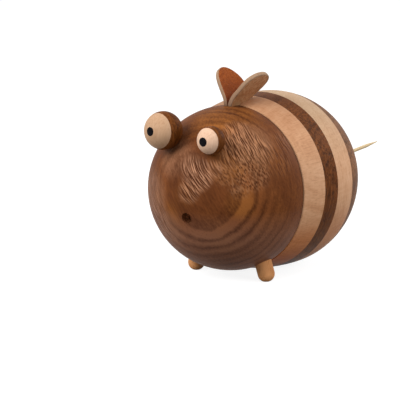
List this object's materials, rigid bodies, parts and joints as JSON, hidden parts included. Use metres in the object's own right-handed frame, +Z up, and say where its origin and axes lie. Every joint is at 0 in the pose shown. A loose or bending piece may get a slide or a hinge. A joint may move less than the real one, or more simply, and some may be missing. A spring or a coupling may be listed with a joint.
{
  "type": "toothpick dispenser",
  "caption": "Turned wooden toothpick dispenser shaped as a bee: pull-off head, striped hollow body, leather wings, peg feet, exit hole in the tail.",
  "frame": {"origin": "on the table, at the centre of the small sanded flat under the belly", "axes": "+X to the bee's left, +Y along the body to its tail and the exit hole, +Z up"},
  "size_m": [0.086, 0.1674, 0.0998],
  "materials": {
    "walnut": "satin oil",
    "maple": "satin oil",
    "pupil_black": "gloss",
    "wing_leather": "natural vegetable tanned",
    "birch": "raw",
    "beech": "raw",
    "seal_rubber": "matte"
  },
  "bodies": {
    "abdomen": {"ring_front": "maple", "ring_middle": "walnut", "ring_rear": "maple", "tail_cap": "walnut", "stored_toothpicks": "birch"},
    "seal": {"seal_ring": "seal_rubber"},
    "head": {"head_ball": "walnut", "eye_back_left": "walnut", "eye_back_right": "walnut", "eye_front_left": "maple", "eye_front_right": "maple", "pupil_left": "pupil_black", "pupil_right": "pupil_black", "eye_dowel_left": "beech", "eye_dowel_right": "beech", "wing_left": "wing_leather", "wing_right": "wing_leather", "foot_left": "maple", "foot_right": "maple"},
    "toothpick": {"toothpick": "birch"}
  },
  "joints": [
    {"name": "head_turn", "type": "hinge", "parent": "abdomen", "child": "seal", "pos_m": [0, -0.0337, 0.04275], "axis": [0, 1, 0], "continuous": true},
    {"name": "head_pull", "type": "slide", "parent": "seal", "child": "head", "axis": [0, -1, 0], "range_m": [0, 0.04]},
    {"name": "toothpick_slide", "type": "slide", "parent": "abdomen", "child": "toothpick", "axis": [0.1016, 0.9863, 0.13], "range_m": [-0.049, 0.022]}
  ]
}
